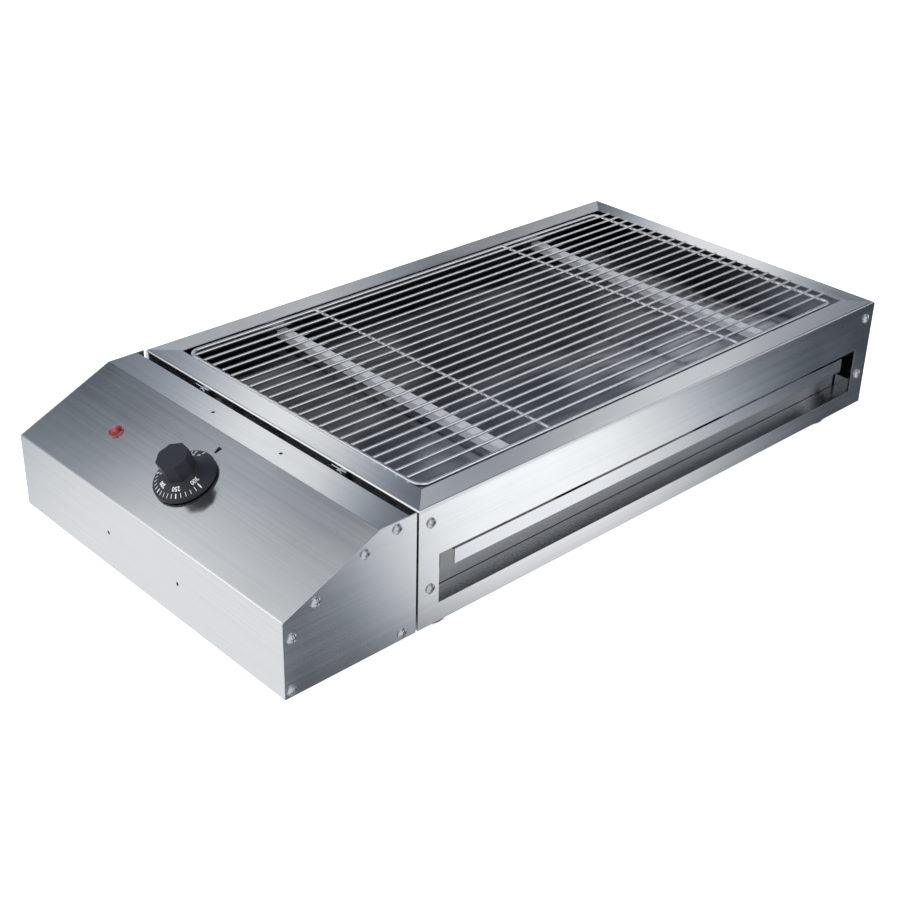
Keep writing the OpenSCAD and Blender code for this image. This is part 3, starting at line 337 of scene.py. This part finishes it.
def add_lamp(name, place, target, size, power):
    """A rectangular lamp that no reflection shows."""
    data = bpy.data.lights.new(name, "AREA")
    data.shape = "RECTANGLE"
    data.size, data.size_y = size
    data.energy = power
    lamp = bpy.data.objects.new(name, data)
    lamp.location = place
    aim = Vector(target) - Vector(place)
    lamp.rotation_mode = "QUATERNION"
    lamp.rotation_quaternion = aim.to_track_quat("-Z", "Y")
    lamp.visible_glossy = False
    link(lamp)


def level_sheet(name, half_x, half_y, height, material):
    """A level rectangle round the origin."""
    mesh = bpy.data.meshes.new(name)
    corners = [(-half_x, -half_y, 0), (half_x, -half_y, 0), (half_x, half_y, 0), (-half_x, half_y, 0)]
    mesh.from_pydata(corners, [], [(0, 1, 2, 3)])
    mesh.materials.append(material)
    sheet = bpy.data.objects.new(name, mesh)
    sheet.location.z = height
    link(sheet)
    return sheet


def add_floor():
    """A matt pale floor that looks evenly bright. No reflection shows it."""
    material, tree = new_material("floor")
    matt = tree.node("ShaderNodeBsdfDiffuse")
    matt.inputs["Color"].default_value = grey(FLOOR_TONE)
    glow = tree.node("ShaderNodeEmission")
    glow.inputs["Color"].default_value = grey(1)
    tree.put(glow.inputs["Strength"], tree.math("MULTIPLY", tree.camera_ray(), FLOOR_GLOW))
    both = tree.node("ShaderNodeAddShader")
    tree.put(both.inputs[0], matt.outputs[0])
    tree.put(both.inputs[1], glow.outputs[0])
    tree.put(tree.node("ShaderNodeOutputMaterial").inputs[0], both.outputs[0])
    floor = level_sheet("floor", FLOOR_HALF, FLOOR_HALF, FLOOR_Z, material)
    floor.visible_glossy = False


def add_floor_shade():
    """The grill's shade on the floor, as reflections show it: a sheet that dims the sky near the grill."""
    material, tree = new_material("floor_shade")
    place = tree.node("ShaderNodeSeparateXYZ")
    tree.put(place.inputs[0], tree.here())
    away = 0.0
    for value, half, sharpness in zip(place.outputs, cad_high, SHADE_SHARPNESS):
        past = tree.math("SUBTRACT", tree.math("ABSOLUTE", value), half)
        past = tree.math("MAXIMUM", tree.math("MULTIPLY", past, sharpness), 0.0)
        away = tree.math("ADD", away, tree.math("POWER", past, 2.0))
    distance = tree.math("SQRT", away)
    dim = tree.node("ShaderNodeBsdfTransparent")
    tree.put(dim.inputs["Color"], tree.remap(distance, 0.0, SHADE_REACH, SHADE_KEEP, 1.0, smooth=False))
    tree.put(tree.node("ShaderNodeOutputMaterial").inputs[0], dim.outputs[0])
    half_x, half_y = cad_high[0] + SHADE_REACH, cad_high[1] + SHADE_REACH
    floor_shade = level_sheet("floor_shade", half_x, half_y, SHADE_Z, material)
    floor_shade.visible_camera = False
    floor_shade.visible_diffuse = False


# Materials
def shader(name, colour, roughness, metallic=0.0, **settings):
    """A new material with a Principled shader. Returns its tree, shader and material."""
    material, tree = new_material(name)
    principled = tree.node("ShaderNodeBsdfPrincipled")
    tree.put(tree.node("ShaderNodeOutputMaterial").inputs[0], principled.outputs[0])
    principled.inputs["Base Color"].default_value = (*colour, 1)
    principled.inputs["Roughness"].default_value = roughness
    principled.inputs["Metallic"].default_value = metallic
    for socket, value in settings.items():
        principled.inputs[socket.replace("_", " ")].default_value = value
    return tree, principled, material


def stretched(tree, groove, along, across):
    """Object coordinates with one scale along an axis and another across it."""
    scale = [across, across, across]
    scale["xyz".index(groove)] = along
    return tree.vector("MULTIPLY", tree.here(), tuple(scale))


def brushed(name, groove, colour, roughness, anisotropic=0.9, depth=0.12, metallic=1.0, wave=0.0, painted_shade=None):
    """Sheet metal with fine scratches along one axis and faint clouds of wear.

    depth is a share of SCRATCH_DEPTH. wave is the depth of a slow unevenness of the sheet in metres.
    The last argument darkens the sheet along y, from its start to its end: painted shade."""
    tree, principled, material = shader(name, colour, roughness, metallic, Anisotropic=anisotropic)
    where = tree.here()
    fine = tree.noise(stretched(tree, groove, *FINE_SCRATCHES), 1.0, 2.0)
    coarse = tree.noise(stretched(tree, groove, *COARSE_SCRATCHES), 1.0, 3.0)
    clouds = tree.noise(where, SHEET_CLOUDS, 3.0, 0.5)
    fine_part = tree.math("MULTIPLY", fine, FINE_SHARE)
    streak = tree.math("ADD", fine_part, tree.math("MULTIPLY", coarse, 1 - FINE_SHARE))
    lightness = tree.remap(streak, STREAK_LOW, STREAK_HIGH, 0, 1)
    tone = tree.mix(lightness, scaled(colour, 1 - 2 * SPREAD), scaled(colour, 1 + SPREAD))
    # Painted shade: the colour darkens along y
    if painted_shade:
        start, end, share = painted_shade
        place = tree.node("ShaderNodeSeparateXYZ")
        tree.put(place.inputs[0], where)
        wander = tree.remap(clouds, NOISE_LOW, NOISE_HIGH, -PAINTED_SHADE_WANDER, PAINTED_SHADE_WANDER)
        thick = tree.remap(tree.math("ADD", place.outputs["Y"], wander), start, end, 0, 1)
        tone = tree.mix(thick, tone, scaled(colour, share))
    tree.put(principled.inputs["Base Color"], tone)
    rough = tree.remap(coarse, NOISE_LOW, NOISE_HIGH, roughness - ROUGH_SPREAD, roughness + ROUGH_SPREAD)
    worn = tree.remap(clouds, STREAK_LOW, NOISE_HIGH, -ROUGH_SPREAD, 2 * ROUGH_SPREAD)
    tree.put(principled.inputs["Roughness"], tree.math("ADD", rough, worn))
    normal = tree.bump(streak, SCRATCH_DEPTH * depth, 0.5)
    if wave:
        normal = tree.bump(tree.noise(where, SHEET_WAVES, 1.0, 0.4), wave, 1.0, normal)
    tree.put(principled.inputs["Normal"], normal)
    facing = tree.node("ShaderNodeNewGeometry").outputs["Normal"]
    tree.put(principled.inputs["Tangent"], tree.vector("CROSS_PRODUCT", facing, SCRATCH_AXIS[groove]))
    return material


def plated(name, colour, roughness):
    """Smooth bright metal with slight unevenness."""
    tree, principled, material = shader(name, colour, roughness, 1.0)
    clouds = tree.noise(tree.here(), PLATE_CLOUDS, 3.0, 0.5)
    rough = tree.remap(clouds, NOISE_LOW, NOISE_HIGH, roughness - 0.04, roughness + 0.05)
    tree.put(principled.inputs["Roughness"], rough)
    tree.put(principled.inputs["Normal"], tree.bump(clouds, PLATE_DEPTH, 0.12))
    return material


def moulded(name, colour, roughness, **settings):
    """Moulded plastic or rubber, or thick paint, with a fine grain."""
    tree, principled, material = shader(name, colour, roughness, 0.0, **settings)
    where = tree.here()
    grain = tree.noise(where, PLASTIC_GRAIN, 2.0)
    clouds = tree.noise(where, PLASTIC_CLOUDS, 3.0)
    low_rough, high_rough = roughness - PLASTIC_ROUGH_SPREAD, roughness + PLASTIC_ROUGH_SPREAD
    rough = tree.remap(clouds, NOISE_LOW, NOISE_HIGH, low_rough, high_rough)
    tone = tree.mix(clouds, scaled(colour, 1 - PLASTIC_SPREAD), scaled(colour, 1 + PLASTIC_SPREAD))
    tree.put(principled.inputs["Base Color"], tone)
    tree.put(principled.inputs["Roughness"], rough)
    tree.put(principled.inputs["Normal"], tree.bump(grain, GRAIN_DEPTH, 0.15))
    return material


def lens(name, centre, outward, rings):
    """Glossy red plastic whose colour follows the distance from the lamp's middle line, with painted light
    and shade.
    """
    tree, principled, material = shader(name, rings[0][1], LENS_ROUGHNESS, Coat_Weight=LENS_COAT)
    where = tree.vector("SUBTRACT", tree.here(), tuple(centre))
    length = tree.node("ShaderNodeVectorMath", operation="LENGTH")
    tree.put(length.inputs[0], tree.vector("CROSS_PRODUCT", where, tuple(outward)))
    share = tree.math("MULTIPLY", length.outputs["Value"], 1 / LAMP_R)
    clouds = tree.noise(where, LENS_CLOUDS, 2.0)
    uneven = tree.remap(clouds, NOISE_LOW, NOISE_HIGH, -LENS_UNEVEN, LENS_UNEVEN)
    tree.put(principled.inputs["Base Color"], tree.ramp(tree.math("ADD", share, uneven), rings))
    return material


def make_looks():
    """Every material, and the CAD pieces that it is for."""
    steel = (0.70, 0.72, 0.74)
    return [
        (brushed("steel_along_x", "x", steel, 0.22, depth=0.035),
         ["front_panel", "back_panel", "base_plate", "control_front_side", "control_back_side",
          "control_base"]),
        (brushed("steel_along_y", "y", steel, 0.16, depth=0.025),
         ["left_end_panel", "right_end_panel", "control_cover", "control_back_plate", "tray_rails"]),
        # Painted shade on the tray's wall recessed behind the lip
        (brushed("tray_steel", "x", (0.66, 0.68, 0.71), 0.24, depth=0.03, painted_shade=TRAY_PAINTED_SHADE), ["drip_tray"]),
        # Painted shade on the pan, darker towards its middle and back under the grate
        (brushed("pan_steel", "x", (0.29, 0.307, 0.345), 0.15, 0.4, wave=0.010, painted_shade=PAN_PAINTED_SHADE),
         ["inner_pan", "grate_rests"]),
        (brushed("strip_steel", "y", (0.66, 0.69, 0.73), 0.35, 0.5, metallic=0.35), ["cross_supports"]),
        (brushed("foot_steel", "z", (0.16, 0.165, 0.175), 0.35, 0.3), ["foot_cups"]),
        (brushed("zinc", "x", (0.62, 0.64, 0.66), 0.42, 0.2),
         ["clamp_bars", "clamp_studs", "clamp_nuts", "foot_screws", "foot_nuts", "lamp_clip",
          "thermostat_shaft"]),
        (plated("wire_chrome", (0.74, 0.75, 0.78), 0.20), ["grate_frame", "grate_bars", "grate_cross_rods"]),
        (plated("screw_chrome", (0.50, 0.515, 0.545), 0.17),
         ["body_screws", "control_screws", "link_screws", "link_spacers", "link_nuts", "element_nuts"]),
        (plated("brass", (0.76, 0.58, 0.27), 0.30),
         ["thermostat_nut", "spade_terminals", "terminal_screws", "earth_screw", "earth_nuts"]),
        (plated("copper", (0.72, 0.42, 0.25), 0.30), ["sensing_bulb", "capillary_tube"]),
        (plated("sheath", (0.20, 0.21, 0.22), 0.45), ["heating_elements"]),
        (moulded("knob_plastic", (0.015, 0.018, 0.024), 0.40, Specular_IOR_Level=0.32), ["knob"]),
        (moulded("black_paint", (0.006, 0.0065, 0.008), 0.50, Specular_IOR_Level=0.20), ["pointer_mark"]),
        (moulded("rubber", (0.025, 0.025, 0.027), 0.65), ["foot_pads", "cord_inlet"]),
        (moulded("white_plastic", (0.80, 0.79, 0.75), 0.45),
         ["thermostat_body", "terminal_block", "lamp_body"]),
        (moulded("silicone", (0.78, 0.76, 0.70), 0.55), ["wiring"]),
        (lens("lens_red", KNOB_AT + Vector((0, LAMP_Y, 0)), SLOPE_OUT, LENS_PAINTED_RINGS), ["lamp_lens"]),
    ]


def break_edges(node, width, steps=2):
    """A small round on each sharp edge, once the imported halves of the edge are joined."""
    weld = node.modifiers.new("weld", "WELD")
    weld.merge_threshold = WELD_REACH
    flat = node.modifiers.new("flat", "DECIMATE")
    flat.decimate_type = "DISSOLVE"
    flat.angle_limit = FLAT_ANGLE
    edge = node.modifiers.new("edge", "BEVEL")
    edge.width = width
    edge.segments = steps
    edge.limit_method = "ANGLE"
    edge.angle_limit = SHARP_ANGLE
    shading = node.modifiers.new("shading", "WEIGHTED_NORMAL")
    shading.keep_sharp = False


# Dial of the knob: ticks and figures, wrapped on the cone of its skirt
def on_cone(radius, turn, lift):
    """The point of the skirt's cone at this radius and angle, raised by lift."""
    height = CONE_H + (CONE_R - radius) * CONE_FALL + lift
    across = SLOPE_UP * math.cos(turn) + Vector((0, 1, 0)) * math.sin(turn)
    return KNOB_AT + across * radius + SLOPE_OUT * height


def add_tick(made, degrees, inner, outer, width):
    """A thin raised bar along the radius, closed all round."""
    half = width / 2
    turn = math.radians(degrees)
    outline = [(r, turn - half / r) for r in (inner, outer)]
    outline += [(r, turn + half / r) for r in (outer, inner)]
    under = [made.verts.new(on_cone(r, a, -PRINT_UNDER)) for r, a in outline]
    over = [made.verts.new(on_cone(r, a, PRINT_OVER)) for r, a in outline]
    made.faces.new(over)
    made.faces.new(under[::-1])
    for i in range(len(outline)):
        j = (i + 1) % len(outline)
        made.faces.new((under[i], under[j], over[j], over[i]))


def add_figures(made, words, degrees, radius, height):
    """Plain figures whose tops point outwards, centred on an angle of the dial and closed all round."""
    curve = bpy.data.curves.new("figures", "FONT")
    curve.body = words
    curve.size = height / CAPITAL_SHARE
    curve.align_x = "CENTER"
    curve.align_y = "CENTER"
    curve.offset = STROKE_EXTRA
    curve.resolution_u = 3
    scratch = bpy.data.objects.new("figures", curve)
    flat = scratch.to_mesh()
    shape = bmesh.new()
    shape.from_mesh(flat)
    scratch.to_mesh_clear()
    bmesh.ops.remove_doubles(shape, verts=shape.verts, dist=MERGE_REACH)
    middle_y = (max(v.co.y for v in shape.verts) + min(v.co.y for v in shape.verts)) / 2
    top = {}
    bottom = {}
    for v in shape.verts:
        turn = math.radians(degrees) - v.co.x / radius
        r = radius + v.co.y - middle_y
        top[v] = made.verts.new(on_cone(r, turn, PRINT_OVER))
        bottom[v] = made.verts.new(on_cone(r, turn, -PRINT_UNDER))
    for face in shape.faces:
        made.faces.new([top[v] for v in face.verts])
        made.faces.new([bottom[v] for v in reversed(face.verts)])
    for edge in shape.edges:
        if edge.is_boundary:
            a, b = edge.verts
            made.faces.new((bottom[a], bottom[b], top[b], top[a]))
    shape.free()
    bpy.data.objects.remove(scratch)
    bpy.data.curves.remove(curve)


def piece(name, made, material, body):
    """A new object from a bmesh, which rides on a body."""
    bmesh.ops.recalc_face_normals(made, faces=made.faces)
    mesh = bpy.data.meshes.new(name)
    made.to_mesh(mesh)
    made.free()
    mesh.materials.append(material)
    thing = bpy.data.objects.new(name, mesh)
    link(thing)
    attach(thing, body)


def add_dial(material):
    """The print on the dial, from 50 round to 300, and the 0 of the off position."""
    dial = bmesh.new()
    turns = sorted(FIGURES.values())
    for first, second in zip(turns, turns[1:]):
        for i in range(TICKS_PER_FIGURE):
            at = first + (second - first) * i / TICKS_PER_FIGURE
            add_tick(dial, at, TICK_IN, TICK_OUT, SMALL_TICK_W if i else MAIN_TICK_W)
    add_tick(dial, turns[-1], *TOP_TICK)
    add_tick(dial, OFF_TURN, *OFF_TICK)
    for number, at in FIGURES.items():
        add_figures(dial, str(number), at, FIGURE_R, FIGURE_H)
    add_figures(dial, "0", OFF_TURN, OFF_R, OFF_H)
    piece("dial_print", dial, material, "knob")


bpy.context.scene.view_settings.view_transform = "Standard"
add_camera()
add_sky()
for lamp_name, lamp_values in LAMPS.items():
    add_lamp(lamp_name, *lamp_values)
add_floor()
add_floor_shade()

for look, names in make_looks():
    for name in names:
        slots = nodes[name].data.materials
        slots.clear()
        slots.append(look)

for name in ("front_panel", "back_panel", "right_end_panel", "control_cover", "control_front_side",
             "control_back_side", "drip_tray", "cross_supports"):
    break_edges(nodes[name], SHEET_EDGE)
break_edges(nodes["knob"], KNOB_EDGE, 3)
add_dial(moulded("dial_white", (0.80, 0.82, 0.84), 0.5))
